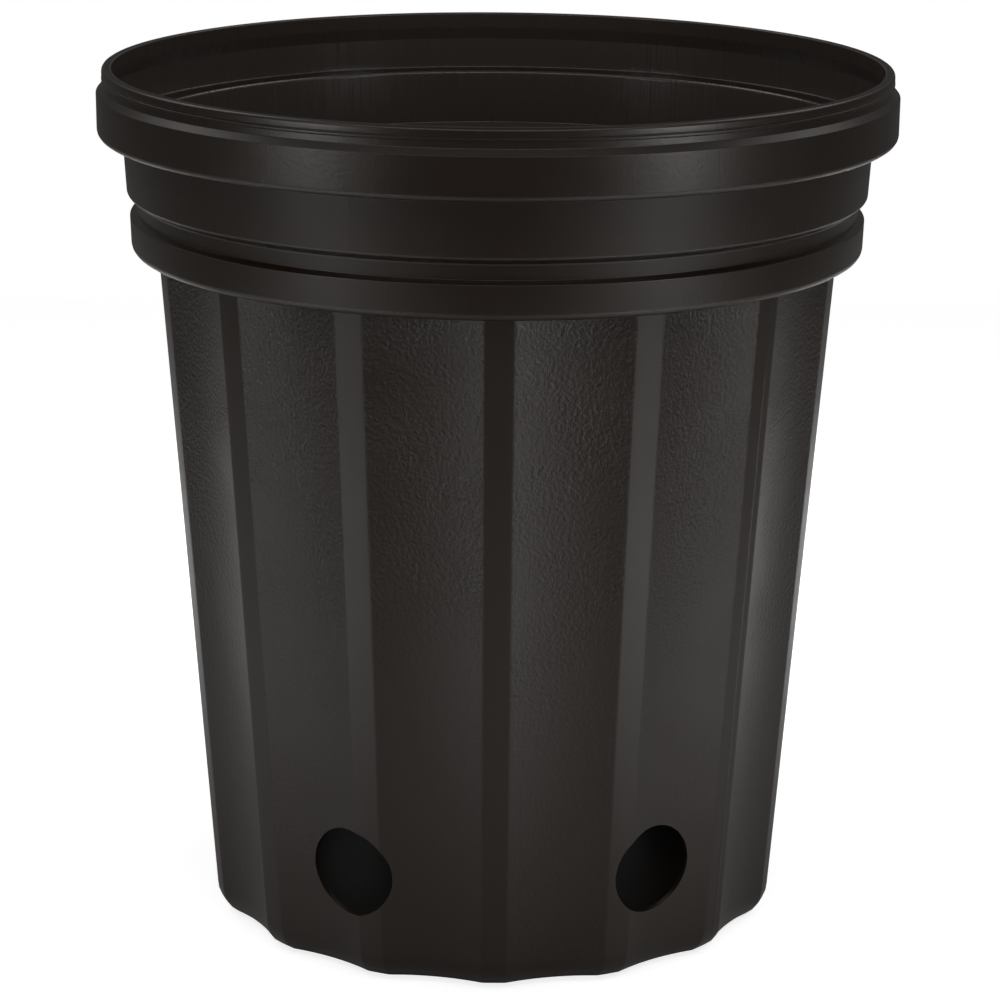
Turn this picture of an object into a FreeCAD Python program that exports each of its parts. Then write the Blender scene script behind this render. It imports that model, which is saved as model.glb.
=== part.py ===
import FreeCAD, Part
import math
import os
import Sketcher

# Blow-moulded nursery pot, millimetres, +Z up, origin at the centre of the standing ring.
# The shell is one piece of even thickness. Its outer form is a tapered wall with fifteen
# narrow ridges between hollow panels, under a rim of stepped bands; its inner form follows
# the outer one at the thickness of the wall. Azimuths count from -Y towards +X.

SIZES = {
    # shell
    "total_height": 180.0,      # standing plane to the top of the lip
    "rim_radius": 82.5,         # widest ring; every inset is measured in from it
    "wall": 1.1,                # thickness of the blown wall
    # tapered wall
    "wall_inset": 11.08,        # ridges, where they meet the lower band
    "draft": 0.0753,            # growth of the radius per unit of height
    "ridges": 15.0,
    "ridge_width": 4.7,         # degrees taken by the flat of one ridge
    "panel_depth": 0.033,       # hollow of a panel at its middle, part of the radius
    "base_round": 4.0,          # rounding between wall and base, which follows the ridges
    # lower band and the groove over it
    "band_inset": 6.4,
    "band_under_inset": 6.7,
    "band_height": 7.0,
    "band_ledge": 0.9,          # rise of the ledge from the band's edge to the groove
    "groove_inset": 10.9,
    "groove_height": 4.2,       # groove root to the lower edge of the neck
    # neck
    "neck_under_inset": 5.8,
    "neck_inset": 5.2,
    "neck_height": 11.7,
    # rim band, shoulder and lip
    "rim_height": 8.1,
    "shoulder_inset": 0.6,
    "shoulder_rise": 0.7,
    "cove_inset": 1.35,         # narrowest ring between shoulder and lip
    "cove_rise": 1.6,
    "cove_height": 0.9,
    "lip_inset": 1.2,
    "lip_height": 2.5,
    "lip_width": 2.1,
    "lip_round": 1.5,
    # easing of the bands
    "band_round": 0.7,
    "edge_round": 0.35,
    # base
    "ring_width": 11.7,         # ridges at the base to the recess inside the standing ring
    "recess_slope": 1.4,        # how far the recess's side leans in
    "recess_depth": 3.0,
    "recess_edge": 0.8,         # bevel where the recess meets ring and floor
    "seam_share": 0.68,         # length of the pinched seam, part of the recess's width
    "seam_width": 1.2,
    "seam_depth": 0.7,
    "seam_azimuth": 48.6,
    # drain holes through the foot of the wall
    "drains": 6.0,
    "drain_radius": 9.4,
    "drain_height": 23.5,
    "drain_azimuth": 31.7,
}

# bevels that make up one rounded edge
FOOT_STEPS, FLOOR_STEPS, BAND_STEPS, LIP_STEPS = 3, 2, 2, 3

doc = FreeCAD.newDocument("nursery_pot")
sheet = doc.addObject("Spreadsheet::Sheet", "Sizes")
for row, (word, number) in enumerate(SIZES.items(), start=1):
    sheet.set("A%d" % row, word)
    sheet.set("B%d" % row, str(number))
    sheet.setAlias("B%d" % row, word)
doc.recompute()


class Size:
    """A length or number worked out from the sheet: its value and the formula behind it."""

    def __init__(self, value, formula):
        self.value = float(value)
        self.formula = formula

    def combine(self, other, sign, value):
        text = other.formula if isinstance(other, Size) else repr(float(other))
        return Size(value, "(%s %s %s)" % (self.formula, sign, text))

    def __add__(self, other):
        return self.combine(other, "+", self.value + plain(other))

    def __sub__(self, other):
        return self.combine(other, "-", self.value - plain(other))

    def __mul__(self, other):
        return self.combine(other, "*", self.value * plain(other))

    def __truediv__(self, other):
        return self.combine(other, "/", self.value / plain(other))


def plain(number):
    return number.value if isinstance(number, Size) else float(number)


def size(word):
    return Size(sheet.get(word), "Sizes." + word)


def constant(number):
    return Size(number, repr(float(number)))


def sine(angle):
    return Size(math.sin(math.radians(angle.value)), "sin(%s)" % angle.formula)


def cosine(angle):
    return Size(math.cos(math.radians(angle.value)), "cos(%s)" % angle.formula)


def tangent(angle):
    return Size(math.tan(math.radians(angle.value)), "tan(%s)" % angle.formula)


def arctangent(ratio):
    # the formula's angle is divided by one degree, so that it stays a plain number
    return Size(math.degrees(math.atan(ratio.value)), "(atan(%s) / 1 deg)" % ratio.formula)


def bind(thing, **sizes):
    """Give each named property its size and the formula that drives it."""
    for name, amount in sizes.items():
        setattr(thing, name, amount.value)
        thing.setExpression(name, amount.formula)


def bind_place(thing, **sizes):
    """Drive a placement: x, y, z in millimetres and turn, an angle about the set axis."""
    paths = {"x": "Placement.Base.x", "y": "Placement.Base.y", "z": "Placement.Base.z",
             "turn": "Placement.Rotation.Angle"}
    for name, amount in sizes.items():
        thing.setExpression(paths[name], amount.formula)


def lean_over(thing, azimuth, angle):
    """Turn a piece's upright axis by an angle, so that its top moves out at an azimuth."""
    turn = math.radians(azimuth.value)
    thing.Placement = FreeCAD.Placement(
        FreeCAD.Vector(0, 0, 0),
        FreeCAD.Rotation(FreeCAD.Vector(math.cos(turn), math.sin(turn), 0), angle.value))
    thing.setExpression("Placement.Rotation.Axis.x", cosine(azimuth).formula)
    thing.setExpression("Placement.Rotation.Axis.y", sine(azimuth).formula)
    bind_place(thing, turn=angle)


def plane_of(body, role):
    return [face for face in body.Origin.OriginFeatures if face.Role == role][0]


def turned(name, outline):
    """A solid of revolution about Z from an outline of (radius, height) corners."""
    body = doc.addObject("PartDesign::Body", name)
    sketch = body.newObject("Sketcher::SketchObject", name + "_outline")
    sketch.AttachmentSupport = (plane_of(body, "XZ_Plane"), [""])
    sketch.MapMode = "FlatFace"
    corners = [FreeCAD.Vector(r.value, z.value, 0) for r, z in outline]
    for start, end in zip(corners, corners[1:] + corners[:1]):
        sketch.addGeometry(Part.LineSegment(start, end), False)
    count = len(corners)
    for side in range(count):
        sketch.addConstraint(Sketcher.Constraint("Coincident", side, 2, (side + 1) % count, 1))
    for side, corner in enumerate(outline):
        for kind, amount in zip(("DistanceX", "DistanceY"), corner):
            index = sketch.addConstraint(
                Sketcher.Constraint(kind, -1, 1, side, 1, amount.value))
            sketch.setExpression("Constraints[%d]" % index, amount.formula)
    doc.recompute()
    spin = body.newObject("PartDesign::Revolution", name + "_turn")
    spin.Profile = sketch
    spin.ReferenceAxis = (sketch, ["V_Axis"])
    spin.Angle = 360.0
    body.Tip = spin
    doc.recompute()
    return body


def quarter(radius, height, up, edge, steps):
    """Outline points that ease an outer corner with bevels along a quarter circle.

    up is 1 for a corner at the top of its band and -1 for one at its foot. The points run
    from the band's face to its level side.
    """
    points = []
    for step in range(steps + 1):
        turn = math.pi / 2.0 * step / steps
        points.append((radius - edge * (1.0 - math.cos(turn)),
                       height - edge * (up * (1.0 - math.sin(turn)))))
    return points


# heights of the rim's rings, from the lip down to the wall, and the radius of the base
axis = constant(0.0)
wall = size("wall")
z_top = size("total_height")
z_lip = z_top - size("lip_height")
z_cove = z_lip - size("cove_height")
z_shoulder = z_cove - size("cove_rise")
z_rim_top = z_shoulder - size("shoulder_rise")
z_rim = z_rim_top - size("rim_height")
z_neck = z_rim - size("neck_height")
z_groove = z_neck - size("groove_height")
z_band_top = z_groove - size("band_ledge")
z_band = z_band_top - size("band_height")
base_radius = size("rim_radius") - size("wall_inset") - size("draft") * z_band


def inset(word):
    return size("rim_radius") - size(word)


def fluted(name, thickness):
    """The tapered plug with ridges and hollow panels, all of it a thickness further in."""
    foot = size("base_round")
    top = z_band + wall * 2.0
    body = doc.addObject("PartDesign::Body", name)
    cone = body.newObject("PartDesign::AdditiveCone", name + "_taper")
    bind(cone, Radius1=base_radius + size("draft") * foot - thickness,
         Radius2=base_radius + size("draft") * top - thickness, Height=top - foot)
    bind_place(cone, z=foot)
    body.Tip = cone
    doc.recompute()
    # one panel is the dent of a slender cone that shares its point with the wall's taper;
    # in any level section it is an arc through the edges of two neighbouring ridges
    half = constant(180.0) / size("ridges") - size("ridge_width") / 2.0
    bottom = constant(1.0) - size("panel_depth")
    rise = cosine(half) - bottom
    arc = (sine(half) * sine(half) + rise * rise) / (rise * 2.0)
    lean = arctangent((bottom + arc) * size("draft"))
    spread = tangent(lean - arctangent(bottom * size("draft")))
    point = constant(0.0) - base_radius / size("draft")
    low, high = constant(-12.0), top + 14.0
    tool = body.newObject("PartDesign::SubtractiveCone", name + "_panel")
    bind(tool, Radius1=(low - point) / cosine(lean) * spread + thickness,
         Radius2=(high - point) / cosine(lean) * spread + thickness,
         Height=(high - low) / cosine(lean))
    away = (low - point) * tangent(lean)
    azimuth = constant(180.0) / size("ridges")
    lean_over(tool, azimuth, lean)
    bind_place(tool, x=away * sine(azimuth), y=constant(0.0) - away * cosine(azimuth), z=low)
    body.Tip = tool
    doc.recompute()
    ring = body.newObject("PartDesign::PolarPattern", name + "_panels")
    ring.Originals = [tool]
    ring.Axis = (plane_of(body, "Z_Axis"), [""])
    ring.Angle = 360.0
    ring.setExpression("Occurrences", "Sizes.ridges")
    body.Tip = ring
    doc.recompute()
    return body


def drawn_in(outline, inwards):
    """A level outline moved inwards, its sides drawn again as true arcs."""
    moved = outline.makeOffset2D(-inwards, 2)
    corners = [corner.Point for corner in moved.OrderedVertexes]
    middles = [side.valueAt((side.FirstParameter + side.LastParameter) / 2.0)
               for side in moved.OrderedEdges]
    return Part.Wire([Part.Arc(*points).toShape()
                      for points in zip(corners, middles, corners[1:] + corners[:1])])


def eased_foot(name, plug, edge, steps):
    """The rounding under a plug: its lowest outline, drawn in step by step, and lofted."""
    outline = min(plug.Shape.Faces, key=lambda face: face.BoundBox.ZMax).OuterWire
    sections = []
    for step in range(steps + 1):
        turn = math.pi / 2.0 * step / steps
        section = doc.addObject("Part::Feature", "%s_section_%d" % (name, step + 1))
        inwards = edge * (1.0 - math.cos(turn))
        section.Shape = drawn_in(outline, inwards.value) if step else outline
        bind_place(section, z=edge * -math.sin(turn))
        sections.append(section)
    loft = doc.addObject("Part::Loft", name)
    loft.Sections = sections
    loft.Solid, loft.Ruled = True, True
    doc.recompute()
    return loft


def joined(name, pieces):
    union = doc.addObject("Part::MultiFuse", name)
    union.Shapes = pieces
    union.Refine = True
    doc.recompute()
    return union


def cut(name, base, tool):
    rest = doc.addObject("Part::Cut", name)
    rest.Base, rest.Tool = base, tool
    doc.recompute()
    return rest


band_round, edge_round = size("band_round"), size("edge_round")
rim_form = turned("rim_form", [
    (axis, z_band),
    *reversed(quarter(inset("band_under_inset"), z_band, -1, band_round, BAND_STEPS)),
    *quarter(inset("band_inset"), z_band_top, 1, edge_round, 1),
    (inset("groove_inset"), z_groove),
    *reversed(quarter(inset("neck_under_inset"), z_neck, -1, edge_round, 1)),
    (inset("neck_inset"), z_rim),
    *reversed(quarter(size("rim_radius"), z_rim, -1, band_round, BAND_STEPS)),
    (size("rim_radius"), z_rim_top),
    (inset("shoulder_inset"), z_shoulder),
    (inset("cove_inset"), z_cove),
    (inset("cove_inset"), z_lip),
    (inset("lip_inset"), z_lip + edge_round),
    *quarter(inset("lip_inset"), z_top, 1, size("lip_round"), LIP_STEPS),
    (axis, z_top)])

# the hollow of the rim, one thickness inside every band, open at the mouth
beyond = 1.0
mouth = inset("lip_inset") - size("lip_width")
rim_hollow = turned("rim_hollow", [
    (axis, z_band + wall),
    (inset("band_under_inset") - wall, z_band + wall),
    (inset("band_inset") - wall, z_band_top - wall),
    (inset("groove_inset") - wall, z_groove - wall * 0.6),
    (inset("groove_inset") - wall, z_groove + wall * 0.6),
    (inset("neck_under_inset") - wall, z_neck + wall * 0.6),
    (inset("neck_inset") - wall, z_rim + wall),
    (size("rim_radius") - wall, z_rim + wall),
    (size("rim_radius") - wall, z_rim_top - wall * 0.4),
    (inset("cove_inset") - wall, z_cove),
    (mouth, z_top - edge_round),
    (mouth + edge_round + beyond, z_top + beyond),
    (axis, z_top + beyond)])

wall_form = fluted("wall_form", axis)
wall_hollow = fluted("wall_hollow", wall)
foot_form = eased_foot("foot_form", wall_form, size("base_round"), FOOT_STEPS)
foot_hollow = eased_foot("foot_hollow", wall_hollow, size("base_round") - wall, FLOOR_STEPS)

# recess under the base, and the floor that it raises inside
recess_edge, recess_depth = size("recess_edge"), size("recess_depth")
recess_foot = base_radius - size("ring_width")
recess_top = recess_foot - size("recess_slope")
recess = turned("recess", [
    (axis, constant(-beyond)),
    (recess_foot + recess_edge + beyond, constant(-beyond)),
    (recess_foot, recess_edge),
    (recess_top, recess_depth - recess_edge),
    (recess_top - recess_edge, recess_depth),
    (axis, recess_depth)])
floor_rise = turned("floor_rise", [
    (axis, axis),
    (recess_foot + wall + recess_edge, axis),
    (recess_top + wall - recess_edge * 0.5, recess_depth + wall),
    (axis, recess_depth + wall)])

drills = []
for number in range(int(round(size("drains").value))):
    drill = doc.addObject("Part::Cylinder", "drain_%d" % (number + 1))
    azimuth = size("drain_azimuth") + constant(360.0 * number) / size("drains")
    start = base_radius / 2.0
    bind(drill, Radius=size("drain_radius"), Height=base_radius)
    lean_over(drill, azimuth, constant(90.0))
    bind_place(drill, x=start * sine(azimuth), y=constant(0.0) - start * cosine(azimuth),
               z=size("drain_height"))
    drills.append(drill)

# pinched seam along the line where the two mould halves closed
seam = doc.addObject("Part::Box", "pinched_seam")
seam_length = recess_top * 2.0 * size("seam_share")
bind(seam, Length=seam_length, Width=size("seam_width"), Height=size("seam_depth") + wall * 0.5)
along = size("seam_azimuth") - 90.0
seam.Placement = FreeCAD.Placement(
    FreeCAD.Vector(0, 0, 0), FreeCAD.Rotation(FreeCAD.Vector(0, 0, 1), along.value))
bind_place(
    seam,
    x=sine(along) * size("seam_width") / 2.0 - cosine(along) * seam_length / 2.0,
    y=constant(0.0) - sine(along) * seam_length / 2.0
    - cosine(along) * size("seam_width") / 2.0,
    z=recess_depth - size("seam_depth"), turn=along)

outside = joined("outside", [wall_form, foot_form, rim_form])
inside = joined("inside", [wall_hollow, foot_hollow, rim_hollow])
shell = cut("shell", outside, cut("inside_over_floor", inside, floor_rise))
shell = cut("shell_on_ring", shell, recess)
shell = cut("shell_drained", shell, joined("drain_holes", drills))
pot = joined("pot", [shell, seam])
pot.Label = "nursery_pot"
doc.recompute()

for thing in doc.Objects:
    if "Invalid" in thing.State or "Error" in thing.State:
        raise RuntimeError("%s did not recompute: %s" % (thing.Name, thing.State))
shape = pot.Shape
if shape.isNull() or not shape.isValid() or len(shape.Solids) != 1:
    raise RuntimeError("the pot is not one valid solid")
os.makedirs("parts", exist_ok=True)
shape.Solids[0].exportStep("parts/nursery_pot.step")
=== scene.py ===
"""A blow-moulded nursery pot on a pale floor, dressed over its CAD frame.

The CAD shell gives way to a finer one with the same rings, ridges and holes: an outline is
drawn point by point, spun about the pot's axis, and its columns are drawn in to the hollow
panels. Heights and radii are in millimetres until they reach a mesh. Azimuths are degrees
from -Y, the front, towards +X. The floor and the lamps are in metres.
"""

from __future__ import annotations

import logging
import math
import sys
from dataclasses import dataclass, field
from enum import Enum

import bmesh
import bpy
from mathutils import Matrix, Vector

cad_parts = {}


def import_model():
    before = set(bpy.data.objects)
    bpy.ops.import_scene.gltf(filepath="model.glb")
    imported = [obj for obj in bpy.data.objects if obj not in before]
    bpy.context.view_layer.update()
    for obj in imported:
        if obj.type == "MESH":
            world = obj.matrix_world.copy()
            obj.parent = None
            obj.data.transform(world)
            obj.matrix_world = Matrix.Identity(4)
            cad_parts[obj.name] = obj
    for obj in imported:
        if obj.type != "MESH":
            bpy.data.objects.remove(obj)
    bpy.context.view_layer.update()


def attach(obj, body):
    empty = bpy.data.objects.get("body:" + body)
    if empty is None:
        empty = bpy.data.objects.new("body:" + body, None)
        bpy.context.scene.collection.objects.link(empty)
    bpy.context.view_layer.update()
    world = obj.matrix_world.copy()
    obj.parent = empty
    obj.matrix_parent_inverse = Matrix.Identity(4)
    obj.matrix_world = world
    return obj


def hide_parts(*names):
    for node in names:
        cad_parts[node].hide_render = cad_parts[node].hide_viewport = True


MM = 0.001
SAME_OFFSET = 1e-6
LEAST_TURN = 1e-9
LOG = logging.getLogger("nursery_pot")


class Zone(Enum):
    """The finishes of the shell, in the order of its material slots."""

    SATIN = 0
    PANEL = 1
    INSIDE = 2


class Shape(Enum):
    """How a ring of the shell runs about the axis."""

    ROUND = "round"
    OUTER = "outer ridges and panels"
    INNER = "inner ridges and panels"


@dataclass(frozen=True)
class Corner:
    """A corner of the spun outline and the radius that eases it, in millimetres."""

    radius: float
    height: float
    ease: float = 0.0
    shape: Shape = Shape.ROUND


@dataclass(frozen=True)
class Ring:
    """One point of the eased outline, in millimetres."""

    radius: float
    height: float
    shape: Shape


def arc_corner(before: Corner, corner: Corner, after: Corner, steps: int) -> list[Ring]:
    """Ease one corner of the outline with an arc that touches both its sides.

    The arc is drawn smaller where it would reach near the middle of a side.

    Args:
        before: the corner before it.
        corner: the corner to ease.
        after: the corner after it.
        steps: sides of the arc.

    Returns:
        The points of the arc, or the corner itself where its ease is 0.
    """
    side_share = 0.48
    here = Vector((corner.radius, corner.height))
    if corner.ease == 0.0:
        return [Ring(here.x, here.y, corner.shape)]
    back = Vector((before.radius, before.height)) - here
    ahead = Vector((after.radius, after.height)) - here
    half = back.angle(ahead) / 2.0
    reach = min(corner.ease / math.tan(half), side_share * back.length,
                side_share * ahead.length)
    radius = reach * math.tan(half)
    centre = here + (back.normalized() + ahead.normalized()).normalized() * (
        radius / math.sin(half))
    start = here + back.normalized() * reach - centre
    end = here + ahead.normalized() * reach - centre
    sweep = start.angle_signed(end)
    points = []
    for step in range(steps + 1):
        turned = start.copy()
        turned.rotate(Matrix.Rotation(-sweep * step / steps, 2))
        point = centre + turned
        points.append(Ring(point.x, point.y, corner.shape))
    return points


def eased(corners: list[Corner], steps: int) -> list[Ring]:
    """Ease each corner of an outline as it asks; the two ends stay.

    Args:
        corners: the outline's corners, in order.
        steps: sides of each arc.

    Returns:
        The points of the eased outline.
    """
    first, last = corners[0], corners[-1]
    rings = [Ring(first.radius, first.height, first.shape)]
    for before, corner, after in zip(corners, corners[1:], corners[2:]):
        rings += arc_corner(before, corner, after, steps)
    rings.append(Ring(last.radius, last.height, last.shape))
    return rings


class Bench:
    """The mesh under edit, with its picking done in code."""

    def __init__(self, name: str) -> None:
        """Start a mesh in edit mode, as a single point on the pot's axis.

        Args:
            name: the name of the object and of its mesh.
        """
        bpy.ops.object.select_all(action="DESELECT")
        bpy.ops.mesh.primitive_plane_add(size=MM, location=(0.0, 0.0, 0.0))
        self.piece = bpy.context.object
        self.piece.name = name
        self.piece.data.name = name
        bpy.ops.object.mode_set(mode="EDIT")
        bpy.ops.mesh.select_mode(type="VERT")
        bpy.ops.mesh.merge(type="CENTER")

    def places(self) -> list[Vector]:
        """Where the points of the mesh are, in the order of their numbers."""
        work = bmesh.from_edit_mesh(self.piece.data)
        return [point.co.copy() for point in work.verts]

    def pick(self, numbers: list[int]) -> None:
        """Select some points of the mesh and nothing else.

        Args:
            numbers: the numbers of the points.
        """
        bpy.ops.mesh.select_all(action="DESELECT")
        work = bmesh.from_edit_mesh(self.piece.data)
        work.verts.ensure_lookup_table()
        for number in numbers:
            work.verts[number].select = True
        work.select_flush_mode()

    def finish(self) -> bpy.types.Object:
        """Leave edit mode and hand over the finished object."""
        bpy.ops.object.mode_set(mode="OBJECT")
        return self.piece


@dataclass
class Flutes:
    """Ridges and hollow panels round the wall.

    The widths are in degrees and the depths are shares of the wall's radius. The wall's
    thickness, and the radius that it is set against, are in millimetres.
    """

    count: int = 15
    ridge_width: float = 4.7
    depth: float = 0.033
    thickness: float = 1.1
    crease: float = 0.3
    crease_depth: float = 0.0004
    inner_radius: float = 66.0
    panel_shares: tuple[float, ...] = (0.12, 0.28, 0.46, 0.64, 0.82, 1.0)

    @property
    def pitch(self) -> float:
        """Degrees from one ridge to the next."""
        return 360.0 / self.count

    def columns(self) -> list[float]:
        """Place the columns of the mesh, from the middle of a ridge to that of a panel.

        Returns:
            Degrees from the middle of the ridge to each column.
        """
        edge, middle = self.ridge_width / 2.0, self.pitch / 2.0
        panel = [edge + self.crease + (middle - edge - self.crease) * share
                 for share in self.panel_shares]
        return [0.0, edge * 0.5, edge - self.crease, edge, edge + self.crease] + panel

    def reach(self, offset: float, shape: Shape) -> float:
        """The wall's radius at an offset from a ridge, over its radius at the ridge.

        Args:
            offset: degrees from the middle of the nearest ridge.
            shape: which face of the wall it is for.

        Returns:
            The share, 1 on a ridge and least in the middle of a panel.
        """
        half = math.radians(self.pitch / 2.0 - self.ridge_width / 2.0)
        bottom = 1.0 - self.depth
        rise = math.cos(half) - bottom
        arc = (math.sin(half) ** 2 + rise ** 2) / (2.0 * rise)
        away = bottom + arc
        inset = self.thickness / self.inner_radius if shape is Shape.INNER else 0.0
        beta = math.radians(self.pitch / 2.0 - offset)
        across = (arc + inset) ** 2 - (away * math.sin(beta)) ** 2
        panel = away * math.cos(beta) - math.sqrt(across) if across > 0.0 else 1.0
        share = min(1.0, panel / (1.0 - inset))
        at_edge = abs(offset - self.ridge_width / 2.0) < SAME_OFFSET
        return share - (self.crease_depth if at_edge else 0.0)


@dataclass
class Shell:
    """The blown shell: outline, flutes, drain holes, parting line and base seam."""

    height: float = 180.0
    wall: float = 1.1
    base_radius: float = 60.7
    draft: float = 0.0753
    base_round: float = 6.5
    wall_height: float = 142.4
    drain_radius: float = 9.4
    drain_height: float = 23.5
    drain_azimuth: float = 31.7
    drain_reach: float = 61.0
    drain_depth: float = 16.0
    drain_sides: int = 72
    drains: int = 6
    parting_azimuth: float = 48.6
    parting_half_width: float = 0.25
    parting_swell: float = 1.0016
    parting_swell_on_rim: float = 1.0005
    seam_length: float = 64.7
    seam_width: float = 1.2
    seam_foot: float = 2.3
    seam_rise: float = 1.3
    seam_bevel: float = 0.25
    arc_steps: int = 4
    foot_steps: int = 6
    wall_rings: int = 14
    smooth_angle: float = 38.0
    flutes: Flutes = field(default_factory=Flutes)

    def ridge(self, height: float) -> float:
        """The radius of the ridges at a height."""
        return self.base_radius + self.draft * height

    def foot(self, inset: float, shape: Shape) -> list[Ring]:
        """Draw the rounding between base and wall, from the base up.

        Args:
            inset: how far the face lies inside the outer one.
            shape: which face of the wall it is for.

        Returns:
            The points of the rounding.
        """
        edge = self.base_round - inset
        top = self.base_round
        rings = []
        for step in range(self.foot_steps + 1):
            turn = math.pi / 2.0 * (1.0 - step / self.foot_steps)
            rings.append(Ring(self.ridge(top) - inset - edge * (1.0 - math.cos(turn)),
                              top - edge * math.sin(turn), shape))
        return rings

    def straight(self, inset: float, top: float, shape: Shape) -> list[Ring]:
        """Draw the tapered wall over its foot, from the foot up.

        Args:
            inset: how far the face lies inside the outer one.
            top: the height where the face ends.
            shape: which face of the wall it is for.

        Returns:
            The points of the wall.
        """
        rings = []
        for step in range(1, self.wall_rings + 1):
            height = self.base_round + (top - self.base_round) * step / self.wall_rings
            rings.append(Ring(self.ridge(height) - inset, height, shape))
        return rings

    def rim(self) -> list[Corner]:
        """Draw the rim, up its outer face, over the lip and down its inner face.

        Returns:
            The corners of the rim, which starts and ends on a ledge beside the wall.
        """
        wall, band, top, ledge = self.wall, self.wall_height, self.height, 1.0
        neck_foot, neck_top, rim_top = 154.5, 166.2, 174.9
        lower_band = [Corner(self.ridge(band) + ledge, band), Corner(75.8, band, 1.6),
                      Corner(76.05, 149.5, 0.2)]
        groove = [Corner(74.6, 150.2, 0.15), Corner(74.8, 153.4, 0.8)]
        neck = [Corner(76.6, neck_foot, 0.9), Corner(77.3, neck_top, 0.9)]
        upper_band = [Corner(82.45, neck_top, 1.4), Corner(82.5, rim_top, 0.15)]
        lip_rings = [Corner(81.35, 176.2, 0.3), Corner(81.1, 177.4, 0.12),
                     Corner(81.35, 177.6, 0.1), Corner(81.35, 178.0, 0.1),
                     Corner(81.1, 178.15, 0.08), Corner(81.3, 178.4, 0.12)]
        lip = [Corner(81.3, top, 1.3), Corner(79.2, top, 0.3)]
        inner_rim = [Corner(80.05, 176.6, 0.8), Corner(81.3, 173.9, 0.3)]
        inner_neck = [Corner(81.4, neck_top + wall, 0.3), Corner(76.2, neck_top + wall, 0.8),
                      Corner(75.5, 155.6, 0.3)]
        inner_groove = [Corner(73.6, 154.6, 0.6), Corner(73.5, 149.1, 0.3)]
        inner_band = [Corner(75.0, 148.3, 0.6), Corner(74.7, band + wall, 0.3),
                      Corner(self.ridge(band) - wall + ledge, band + wall)]
        outer_face = lower_band + groove + neck + upper_band + lip_rings
        return outer_face + lip + inner_rim + inner_neck + inner_groove + inner_band

    def outline(self) -> list[Ring]:
        """Draw the shell from the middle of the base, over the lip, to the floor.

        Returns:
            The points of the whole outline.
        """
        wall, band, raised, floor_height = self.wall, self.wall_height, 3.0, 4.1
        underside = [Corner(0.0, raised), Corner(46.9, raised, 0.9), Corner(48.9, 0.0, 0.9),
                     Corner(52.0, 0.0)]
        inner_floor = [Corner(53.0, wall), Corner(50.6, wall, 0.8),
                       Corner(48.2, floor_height, 0.9), Corner(0.0, floor_height)]
        base = eased(underside, self.arc_steps)
        outer = self.foot(0.0, Shape.OUTER) + self.straight(0.0, band, Shape.OUTER)
        rim = eased(self.rim(), self.arc_steps)
        inner = self.foot(wall, Shape.INNER) + self.straight(wall, band + wall, Shape.INNER)
        floor = eased(inner_floor, self.arc_steps)
        return base + outer + rim + inner[::-1] + floor

    def spin(self, rings: list[Ring]) -> Bench:
        """Draw the outline in front of the axis and spin it round.

        Args:
            rings: the outline's points.

        Returns:
            The bench with the plain turned shell on it, still in edit mode.
        """
        weld = 0.004
        bench = Bench("nursery_pot_shell")
        spot = Vector((0.0, 0.0, 0.0))
        for ring in rings:
            place = Vector((0.0, -ring.radius, ring.height)) * MM
            if ring is rings[0]:
                bpy.ops.transform.translate(value=place - spot)
            else:
                bpy.ops.mesh.extrude_region_move(
                    TRANSFORM_OT_translate={"value": place - spot})
            spot = place
        bpy.ops.mesh.select_all(action="SELECT")
        turns = self.flutes.count * 2 * (len(self.flutes.columns()) - 1)
        bpy.ops.mesh.spin(steps=turns, angle=math.tau, center=(0.0, 0.0, 0.0),
                          axis=(0.0, 0.0, 1.0))
        bpy.ops.mesh.select_all(action="SELECT")
        bpy.ops.mesh.remove_doubles(threshold=weld * MM)
        return bench

    def flute(self, bench: Bench, rings: list[Ring]) -> None:
        """Gather the columns at the ridges' edges and draw the panels in.

        Args:
            bench: the bench with the turned shell.
            rings: the outline's points, which say how each ring runs.
        """
        beside_axis = 1.0
        columns = self.flutes.columns()
        half = len(columns) - 1
        even = self.flutes.pitch / (2 * half)
        groups: dict[tuple[int, int, Shape], list[int]] = {}
        shapes: dict[tuple[float, float], Shape] = {}
        for index, place in enumerate(bench.places()):
            spot = (round(place.xy.length / MM, 3), round(place.z / MM, 3))
            if spot[0] < beside_axis:
                continue
            if spot not in shapes:
                shapes[spot] = min(rings, key=lambda ring: abs(ring.radius - spot[0])
                                   + abs(ring.height - spot[1])).shape
            step = round(math.degrees(math.atan2(place.x, -place.y)) / even) % (2 * half)
            side, number = (1, step) if step <= half else (-1, 2 * half - step)
            groups.setdefault((side, number, shapes[spot]), []).append(index)
        for (side, number, shape), points in groups.items():
            turn = math.radians(side * (columns[number] - number * even))
            bench.pick(points)
            if abs(turn) > LEAST_TURN:
                bpy.ops.transform.rotate(value=-turn, orient_axis="Z",
                                         center_override=(0.0, 0.0, 0.0))
            if shape is not Shape.ROUND:
                share = self.flutes.reach(columns[number], shape)
                bpy.ops.transform.resize(value=(share, share, 1.0),
                                         center_override=(0.0, 0.0, 0.0))

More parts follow.
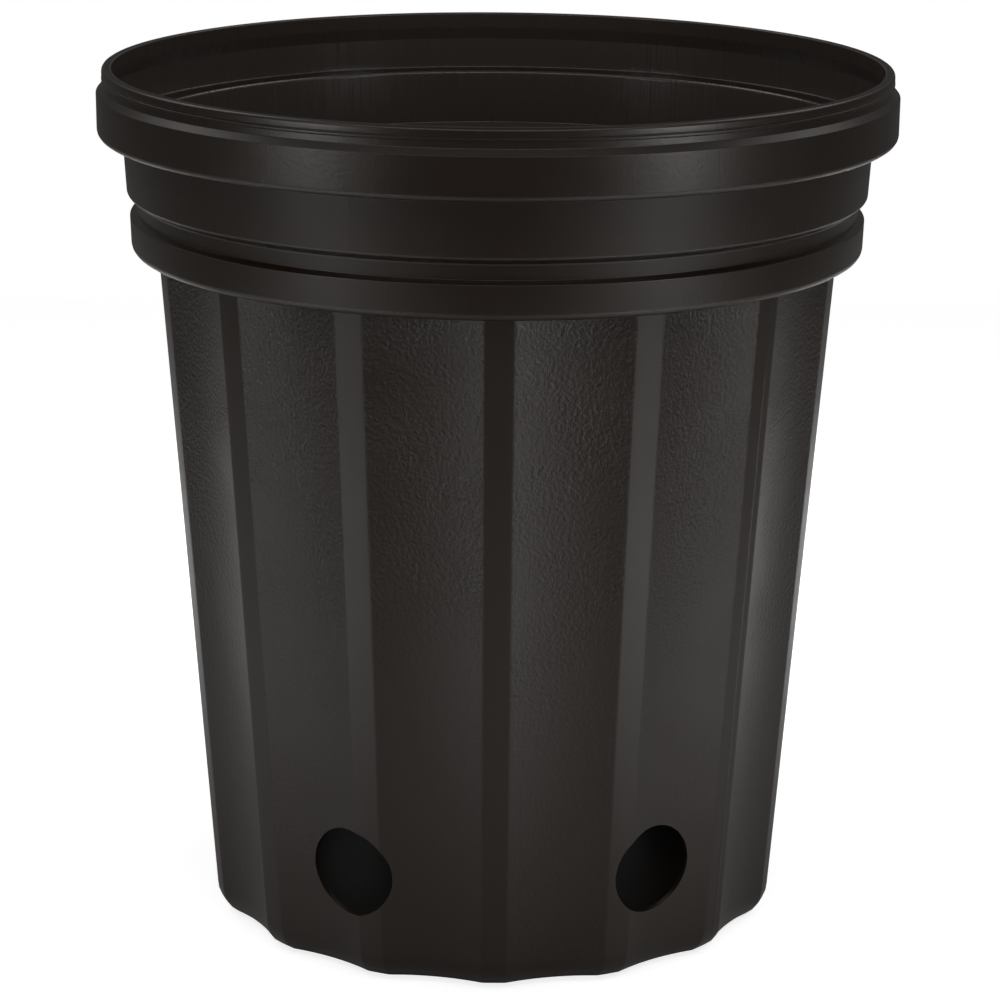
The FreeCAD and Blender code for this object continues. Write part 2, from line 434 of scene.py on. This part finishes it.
    def part(self, bench: Bench) -> None:
        """Raise the fine line that the closed mould leaves on the outside.

        Args:
            bench: the bench with the fluted shell.
        """
        on_line, under_band, over_all = 0.01, 0.1, 1.0
        azimuth = math.radians(self.parting_azimuth)
        across = Vector((math.cos(azimuth), math.sin(azimuth), 0.0))
        for step in (-1.0, 0.0, 1.0):
            bpy.ops.mesh.select_all(action="SELECT")
            bpy.ops.mesh.bisect(plane_co=across * self.parting_half_width * step * MM,
                                plane_no=across)
        wall_top = (self.wall_height - under_band) * MM
        for swell, low, high in ((self.parting_swell, 0.0, wall_top),
                                 (self.parting_swell_on_rim, wall_top, over_all)):
            bench.pick([number for number, place in enumerate(bench.places())
                        if abs(place.dot(across)) < on_line * MM and low < place.z <= high
                        and self.is_outside(place)])
            bpy.ops.transform.resize(value=(swell, swell, 1.0),
                                     center_override=(0.0, 0.0, 0.0))

    def is_outside(self, place: Vector) -> bool:
        """Whether a point of the shell lies on its outer face, from the foot to the rim.

        Args:
            place: the point, in metres.

        Returns:
            True on the outer face.
        """
        over_wall, between_faces, under_lip = 0.2, 75.9, 1.0
        radius, height = place.xy.length / MM, place.z / MM
        if height > self.wall_height + over_wall:
            return radius > between_faces and height < self.height - under_lip
        middle = self.ridge(height) * (1.0 - self.flutes.depth) - self.wall * 0.5
        return height > self.base_round and radius > middle + self.offset_allowance(place)

    def offset(self, place: Vector) -> float:
        """Degrees from a place to the middle of the nearest ridge."""
        azimuth = math.degrees(math.atan2(place.x, -place.y)) % self.flutes.pitch
        return min(azimuth, self.flutes.pitch - azimuth)

    def offset_allowance(self, place: Vector) -> float:
        """How much further out the wall lies at a place than in the middle of a panel."""
        share = self.flutes.reach(self.offset(place), Shape.OUTER) - (1.0 - self.flutes.depth)
        return share * self.ridge(place.z / MM)

    def drill(self, piece: bpy.types.Object) -> None:
        """Drill the drain holes through the foot of the wall.

        Args:
            piece: the shell.
        """
        for number in range(self.drains):
            azimuth = math.radians(self.drain_azimuth + 360.0 / self.drains * number)
            out = Vector((math.sin(azimuth), -math.cos(azimuth), 0.0))
            middle = out * self.drain_reach * MM
            middle.z = self.drain_height * MM
            bpy.ops.object.select_all(action="DESELECT")
            bpy.ops.mesh.primitive_cylinder_add(
                vertices=self.drain_sides, radius=self.drain_radius * MM,
                depth=self.drain_depth * MM, location=middle,
                rotation=(math.pi / 2.0, 0.0, azimuth))
            self.work(piece, bpy.context.object, "DIFFERENCE", "drain_%d" % (number + 1))

    def pinch(self, piece: bpy.types.Object) -> None:
        """Weld on the seam under the base, where the closing mould pinched the tube.

        Args:
            piece: the shell.
        """
        azimuth = math.radians(self.parting_azimuth)
        bpy.ops.object.select_all(action="DESELECT")
        bpy.ops.mesh.primitive_cube_add(
            size=MM, location=(0.0, 0.0, (self.seam_foot + self.seam_rise / 2.0) * MM),
            rotation=(0.0, 0.0, azimuth - math.pi / 2.0),
            scale=(self.seam_length, self.seam_width, self.seam_rise))
        seam = bpy.context.object
        bpy.ops.object.mode_set(mode="EDIT")
        bpy.ops.mesh.select_all(action="SELECT")
        bpy.ops.mesh.bevel(offset=self.seam_bevel * MM, segments=2)
        bpy.ops.object.mode_set(mode="OBJECT")
        self.work(piece, seam, "UNION", "pinched_seam")

    def work(self, piece: bpy.types.Object, tool: bpy.types.Object, way: str,
             name: str) -> None:
        """Join a tool to the shell, or cut it from it, and clear the tool away.

        Args:
            piece: the shell.
            tool: the object to join or cut with.
            way: the operation of the boolean.
            name: the name of the step.
        """
        bpy.ops.object.select_all(action="DESELECT")
        piece.select_set(True)
        bpy.context.view_layer.objects.active = piece
        step = piece.modifiers.new(name, "BOOLEAN")
        step.operation, step.solver, step.object = way, "EXACT", tool
        bpy.ops.object.modifier_apply(modifier=step.name)
        bpy.data.objects.remove(tool)

    def zone(self, face: bpy.types.MeshPolygon) -> Zone:
        """Find the finish that a face of the shell takes.

        Args:
            face: the face.

        Returns:
            Its zone.
        """
        inward, over_base = -0.2, 4.0
        place = Vector(face.center)
        if face.normal.xy.dot(place.xy) < inward * place.xy.length and place.z > over_base * MM:
            return Zone.INSIDE
        if not self.is_outside(place) or place.z > self.wall_height * MM:
            return Zone.SATIN
        on_panel = self.offset(place) > self.flutes.ridge_width / 2.0
        return Zone.PANEL if on_panel else Zone.SATIN

    def build(self, finishes: dict[Zone, bpy.types.Material]) -> bpy.types.Object:
        """Make the shell and dress it.

        Args:
            finishes: the material of each zone.

        Returns:
            The shell, in place.
        """
        rings = self.outline()
        bench = self.spin(rings)
        self.flute(bench, rings)
        self.part(bench)
        bpy.ops.mesh.select_all(action="SELECT")
        bpy.ops.mesh.normals_make_consistent(inside=False)
        piece = bench.finish()
        self.drill(piece)
        self.pinch(piece)
        for zone in Zone:
            piece.data.materials.append(finishes[zone])
        for face in piece.data.polygons:
            face.material_index = self.zone(face).value
        bpy.ops.object.select_all(action="DESELECT")
        piece.select_set(True)
        bpy.context.view_layer.objects.active = piece
        bpy.ops.object.shade_smooth_by_angle(angle=math.radians(self.smooth_angle))
        even = piece.modifiers.new("even_normals", "WEIGHTED_NORMAL")
        even.keep_sharp = True
        bpy.ops.object.modifier_apply(modifier=even.name)
        return piece


@dataclass(frozen=True)
class Plastic:
    """One finish of the black polyethylene; grain and depths are in millimetres."""

    name: str
    colour: tuple[float, float, float]
    roughness: float
    grain_size: float
    grain_depth: float
    streak_depth: float
    wear: float = 0.05

    def make(self, grain: bpy.types.NodeTree, streaks: bpy.types.NodeTree) -> bpy.types.Material:
        """Build the material.

        Args:
            grain: the group that gives the fine grain.
            streaks: the group that gives the drawn streaks.

        Returns:
            The material.
        """
        material = bpy.data.materials.new(self.name)
        material.use_nodes = True
        nodes, links = material.node_tree.nodes, material.node_tree.links
        shader = nodes["Principled BSDF"]
        shader.inputs["Base Color"].default_value = (*self.colour, 1.0)
        shader.inputs["Roughness"].default_value = self.roughness
        fine = nodes.new("ShaderNodeGroup")
        fine.node_tree = grain
        fine.inputs["Size"].default_value = self.grain_size
        drawn = nodes.new("ShaderNodeGroup")
        drawn.node_tree = streaks
        bumps = []
        for source, depth in ((fine, self.grain_depth), (drawn, self.streak_depth)):
            bump = nodes.new("ShaderNodeBump")
            bump.inputs["Strength"].default_value = 1.0
            bump.inputs["Distance"].default_value = depth * MM
            links.new(source.outputs["Height"], bump.inputs["Height"])
            bumps.append(bump)
        links.new(bumps[1].outputs["Normal"], bumps[0].inputs["Normal"])
        links.new(bumps[0].outputs["Normal"], shader.inputs["Normal"])
        spread = nodes.new("ShaderNodeMapRange")
        spread.inputs["To Min"].default_value = self.roughness - self.wear
        spread.inputs["To Max"].default_value = self.roughness + self.wear
        links.new(fine.outputs["Wear"], spread.inputs["Value"])
        links.new(spread.outputs["Result"], shader.inputs["Roughness"])
        return material


class Surface:
    """The node groups that the finishes share."""

    grain_detail, grain_roughness = 3.0, 0.55
    wear_scale, wear_detail = 45.0, 2.0
    fade_foot, fade_top, least_low_down = 45.0, 110.0, 0.25
    patch_low, patch_high, least_between_patches = 0.35, 0.6, 0.45
    streak_rise = 0.35
    ripple_scale, ripple_detail, ripple_share = 60.0, 1.0, 0.4
    line_scale, line_detail, line_low, line_high = 150.0, 2.0, 0.56, 0.68

    @staticmethod
    def group(name: str, inputs: dict[str, float], outputs: list[str]) -> bpy.types.NodeTree:
        """Start a node group with its sockets.

        Args:
            name: the group's name.
            inputs: the name of each input and its value where nothing is set.
            outputs: the names of the outputs.

        Returns:
            The group.
        """
        tree = bpy.data.node_groups.new(name, "ShaderNodeTree")
        for word, value in inputs.items():
            socket = tree.interface.new_socket(word, in_out="INPUT",
                                               socket_type="NodeSocketFloat")
            socket.default_value = value
        for word in outputs:
            tree.interface.new_socket(word, in_out="OUTPUT", socket_type="NodeSocketFloat")
        return tree

    @classmethod
    def grain(cls) -> bpy.types.NodeTree:
        """Make the fine grain of the blown surface, and the slow change of its sheen.

        The grain fades down the wall and comes in patches.

        Returns:
            The group.
        """
        tree = cls.group("moulded_grain", {"Size": 1.0}, ["Height", "Wear"])
        nodes, links = tree.nodes, tree.links
        entry, leave = nodes.new("NodeGroupInput"), nodes.new("NodeGroupOutput")
        place = nodes.new("ShaderNodeTexCoord")
        divide = nodes.new("ShaderNodeMath")
        divide.operation = "DIVIDE"
        divide.inputs[0].default_value = 1.0 / MM
        links.new(entry.outputs["Size"], divide.inputs[1])
        noise = nodes.new("ShaderNodeTexNoise")
        noise.inputs["Detail"].default_value = cls.grain_detail
        noise.inputs["Roughness"].default_value = cls.grain_roughness
        links.new(place.outputs["Object"], noise.inputs["Vector"])
        links.new(divide.outputs[0], noise.inputs["Scale"])
        slow = nodes.new("ShaderNodeTexNoise")
        slow.inputs["Scale"].default_value = cls.wear_scale
        slow.inputs["Detail"].default_value = cls.wear_detail
        links.new(place.outputs["Object"], slow.inputs["Vector"])
        links.new(slow.outputs["Fac"], leave.inputs["Wear"])
        axes = nodes.new("ShaderNodeSeparateXYZ")
        links.new(place.outputs["Object"], axes.inputs[0])
        rise = nodes.new("ShaderNodeMapRange")
        rise.inputs["From Min"].default_value = cls.fade_foot * MM
        rise.inputs["From Max"].default_value = cls.fade_top * MM
        rise.inputs["To Min"].default_value = cls.least_low_down
        links.new(axes.outputs["Z"], rise.inputs["Value"])
        patch = nodes.new("ShaderNodeMapRange")
        patch.inputs["From Min"].default_value = cls.patch_low
        patch.inputs["From Max"].default_value = cls.patch_high
        patch.inputs["To Min"].default_value = cls.least_between_patches
        links.new(slow.outputs["Fac"], patch.inputs["Value"])
        fade = nodes.new("ShaderNodeMath")
        fade.operation = "MULTIPLY"
        links.new(rise.outputs["Result"], fade.inputs[0])
        links.new(patch.outputs["Result"], fade.inputs[1])
        faded = nodes.new("ShaderNodeMath")
        faded.operation = "MULTIPLY"
        links.new(noise.outputs["Fac"], faded.inputs[0])
        links.new(fade.outputs[0], faded.inputs[1])
        links.new(faded.outputs[0], leave.inputs["Height"])
        return tree

    @classmethod
    def streaks(cls) -> bpy.types.NodeTree:
        """Make the upright streaks that the drawn tube of plastic leaves in the blown wall.

        They are a soft ripple with sparse, sharper lines.

        Returns:
            The group.
        """
        tree = cls.group("drawn_streaks", {}, ["Height"])
        nodes, links = tree.nodes, tree.links
        leave = nodes.new("NodeGroupOutput")
        place = nodes.new("ShaderNodeTexCoord")
        flat = nodes.new("ShaderNodeVectorMath")
        flat.operation = "MULTIPLY"
        flat.inputs[1].default_value = (1.0, 1.0, 0.0)
        links.new(place.outputs["Object"], flat.inputs[0])
        way = nodes.new("ShaderNodeVectorMath")
        way.operation = "NORMALIZE"
        links.new(flat.outputs[0], way.inputs[0])
        rise = nodes.new("ShaderNodeVectorMath")
        rise.operation = "MULTIPLY"
        rise.inputs[1].default_value = (0.0, 0.0, cls.streak_rise)
        links.new(place.outputs["Object"], rise.inputs[0])
        both = nodes.new("ShaderNodeVectorMath")
        both.operation = "ADD"
        links.new(way.outputs[0], both.inputs[0])
        links.new(rise.outputs[0], both.inputs[1])
        ripple = nodes.new("ShaderNodeTexNoise")
        ripple.inputs["Scale"].default_value = cls.ripple_scale
        ripple.inputs["Detail"].default_value = cls.ripple_detail
        links.new(both.outputs[0], ripple.inputs["Vector"])
        lines = nodes.new("ShaderNodeTexNoise")
        lines.inputs["Scale"].default_value = cls.line_scale
        lines.inputs["Detail"].default_value = cls.line_detail
        links.new(both.outputs[0], lines.inputs["Vector"])
        sharp = nodes.new("ShaderNodeMapRange")
        sharp.interpolation_type = "SMOOTHSTEP"
        sharp.inputs["From Min"].default_value = cls.line_low
        sharp.inputs["From Max"].default_value = cls.line_high
        links.new(lines.outputs["Fac"], sharp.inputs["Value"])
        soft = nodes.new("ShaderNodeMath")
        soft.operation = "MULTIPLY_ADD"
        soft.inputs[1].default_value = cls.ripple_share
        links.new(ripple.outputs["Fac"], soft.inputs[0])
        links.new(sharp.outputs["Result"], soft.inputs[2])
        links.new(soft.outputs[0], leave.inputs["Height"])
        return tree


@dataclass
class Studio:
    """Floor, soft lights and the camera, which stands where the photograph's did.

    The camera's places are in millimetres, its dip and roll in radians and its azimuth in
    degrees. The floor and the lamps are in metres, degrees and watts.
    """

    distance: float = 709.0
    eye_height: float = 283.8
    aside: float = 1.07
    azimuth: float = -0.6
    dip: float = 0.271
    roll: float = 0.008258
    focal_pixels: float = 3454.0
    picture_pixels: float = 1000.0
    sensor: float = 36.0
    floor_width: float = 1.3
    floor_depth: float = 0.84
    floor_back: float = 0.1
    floor_grey: float = 0.45
    floor_glow: float = 0.8
    room_level: float = 0.09
    aim_height: float = 0.09
    lamp_distance: float = 1.2
    low_size: float = 0.12
    low_spread: float = 90.0
    low_reach: float = 0.28
    low_height: float = 0.23

    def camera(self) -> None:
        """Set the camera at the photograph's viewing angle."""
        turn = math.radians(self.azimuth)
        right = Vector((math.cos(turn), math.sin(turn), 0.0))
        out = Vector((math.sin(turn), -math.cos(turn), 0.0))
        place = out * self.distance + right * self.aside + Vector((0.0, 0.0, self.eye_height))
        ahead = -out * math.cos(self.dip) - Vector((0.0, 0.0, math.sin(self.dip)))
        above = right.cross(ahead)
        side = right * math.cos(self.roll) + above * math.sin(self.roll)
        top = above * math.cos(self.roll) - right * math.sin(self.roll)
        lens = bpy.data.cameras.new("camera")
        lens.sensor_width = self.sensor
        lens.lens = self.sensor * self.focal_pixels / self.picture_pixels
        lens.clip_start, lens.clip_end = 0.01, 20.0
        camera = bpy.data.objects.new("camera", lens)
        turned = Matrix((side, top, -ahead)).transposed().to_4x4()
        camera.matrix_world = Matrix.Translation(place * MM) @ turned
        bpy.context.collection.objects.link(camera)
        bpy.context.scene.camera = camera

    def floor(self) -> None:
        """Lay the pale floor."""
        bpy.ops.object.select_all(action="DESELECT")
        bpy.ops.mesh.primitive_plane_add(
            size=1.0, location=(0.0, self.floor_back, 0.0),
            scale=(self.floor_width, self.floor_depth, 1.0))
        floor = bpy.context.object
        floor.name = "floor"
        paper = bpy.data.materials.new("white_paper")
        paper.use_nodes = True
        nodes, links = paper.node_tree.nodes, paper.node_tree.links
        shader = nodes["Principled BSDF"]
        grey = self.floor_grey
        shader.inputs["Base Color"].default_value = (grey, grey, grey, 1.0)
        shader.inputs["Roughness"].default_value = 0.9
        glow = nodes.new("ShaderNodeEmission")
        glow.inputs["Color"].default_value = (1.0, 1.0, 1.0, 1.0)
        path = nodes.new("ShaderNodeLightPath")
        seen = nodes.new("ShaderNodeMath")
        seen.operation = "MULTIPLY"
        seen.inputs[1].default_value = self.floor_glow
        links.new(path.outputs["Is Camera Ray"], seen.inputs[0])
        links.new(seen.outputs[0], glow.inputs["Strength"])
        both = nodes.new("ShaderNodeAddShader")
        links.new(shader.outputs[0], both.inputs[0])
        links.new(glow.outputs[0], both.inputs[1])
        links.new(both.outputs[0], nodes["Material Output"].inputs["Surface"])
        floor.data.materials.append(paper)

    def world(self) -> None:
        """Fill the room with even, low light, white where the camera sees it."""
        world = bpy.data.worlds.new("room")
        bpy.context.scene.world = world
        world.use_nodes = True
        nodes, links = world.node_tree.nodes, world.node_tree.links
        room = nodes["Background"]
        room.inputs["Color"].default_value = (1.0, 1.0, 1.0, 1.0)
        path = nodes.new("ShaderNodeLightPath")
        level = nodes.new("ShaderNodeMapRange")
        level.inputs["To Min"].default_value = self.room_level
        level.inputs["To Max"].default_value = 1.0
        links.new(path.outputs["Is Camera Ray"], level.inputs["Value"])
        links.new(level.outputs["Result"], room.inputs["Strength"])

    def lamp(self, name: str, azimuth: float, rise: float, size: tuple[float, float],
             power: float) -> None:
        """Hang a soft box that faces the pot.

        Args:
            name: the lamp's name.
            azimuth: the side it hangs on.
            rise: its angle over the middle of the pot.
            size: its width and height.
            power: its power.
        """
        light = bpy.data.lights.new(name, "AREA")
        light.shape = "RECTANGLE"
        light.size, light.size_y = size
        light.energy = power
        lamp = bpy.data.objects.new(name, light)
        turn, lift = math.radians(azimuth), math.radians(rise)
        middle = Vector((0.0, 0.0, self.aim_height))
        way = Vector((math.sin(turn) * math.cos(lift), -math.cos(turn) * math.cos(lift),
                      math.sin(lift)))
        lamp.matrix_world = Matrix.Translation(middle + way * self.lamp_distance) @ (
            -way).to_track_quat("-Z", "Y").to_matrix().to_4x4()
        bpy.context.collection.objects.link(lamp)

    def floor_lamp(self, name: str, azimuth: float, power: float) -> None:
        """Hang a small lamp low over the floor beside the pot, facing straight down.

        Args:
            name: the lamp's name.
            azimuth: the side it hangs on.
            power: its power.
        """
        light = bpy.data.lights.new(name, "AREA")
        light.size = self.low_size
        light.spread = math.radians(self.low_spread)
        light.energy = power
        lamp = bpy.data.objects.new(name, light)
        turn = math.radians(azimuth)
        lamp.location = (self.low_reach * math.sin(turn), -self.low_reach * math.cos(turn),
                         self.low_height)
        bpy.context.collection.objects.link(lamp)

    def build(self) -> None:
        """Set up the whole studio."""
        self.floor()
        self.world()
        self.lamp("left_key", -52.0, 6.0, (0.3, 0.4), 2.6)
        self.lamp("right_key", 49.0, 6.0, (0.3, 0.4), 3.2)
        self.lamp("left_top", -35.0, 50.0, (0.7, 0.2), 1.7)
        self.lamp("right_top", 25.0, 50.0, (0.9, 0.2), 2.3)
        self.lamp("left_back", -125.0, 48.0, (0.6, 0.6), 2.2)
        self.lamp("right_back", 125.0, 48.0, (0.6, 0.6), 2.2)
        self.floor_lamp("left_floor", -50.0, 0.42)
        self.floor_lamp("right_floor", 48.0, 0.54)
        self.floor_lamp("left_rear_floor", -142.0, 0.28)
        self.floor_lamp("right_rear_floor", 142.0, 0.36)
        self.camera()
        bpy.context.scene.view_settings.view_transform = "Standard"


def main() -> None:
    """Load the frame, build the pot and its studio, and report each piece."""
    logging.basicConfig(level=logging.INFO, format="%(message)s", stream=sys.stdout)
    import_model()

    grain, streaks = Surface.grain(), Surface.streaks()
    # The inside colour is the same black plastic painted several times lighter: a painted fill
    # light for the hollow, which the lamps leave dim.
    black, inside = (0.0092, 0.0041, 0.0012), (0.048, 0.0395, 0.0345)
    finishes = {
        Zone.SATIN: Plastic("satin_black", black, roughness=0.35, grain_size=0.9,
                            grain_depth=0.03, streak_depth=0.004),
        Zone.PANEL: Plastic("grained_black", black, roughness=0.36, grain_size=0.8,
                            grain_depth=0.32, streak_depth=0.008),
        # This inside finish takes the lightened colour above, a painted fill light on the
        # plastic's real gloss.
        Zone.INSIDE: Plastic("glossy_black_painted_fill", inside, roughness=0.22, grain_size=1.4,
                             grain_depth=0.03, streak_depth=0.06),
    }
    dressed = {zone: finish.make(grain, streaks) for zone, finish in finishes.items()}
    shell = Shell().build(dressed)
    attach(shell, "root")
    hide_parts("nursery_pot")
    LOG.info("shell: %d faces", len(shell.data.polygons))

    Studio().build()
    LOG.info("studio ready")


if __name__ == "__main__":
    main()
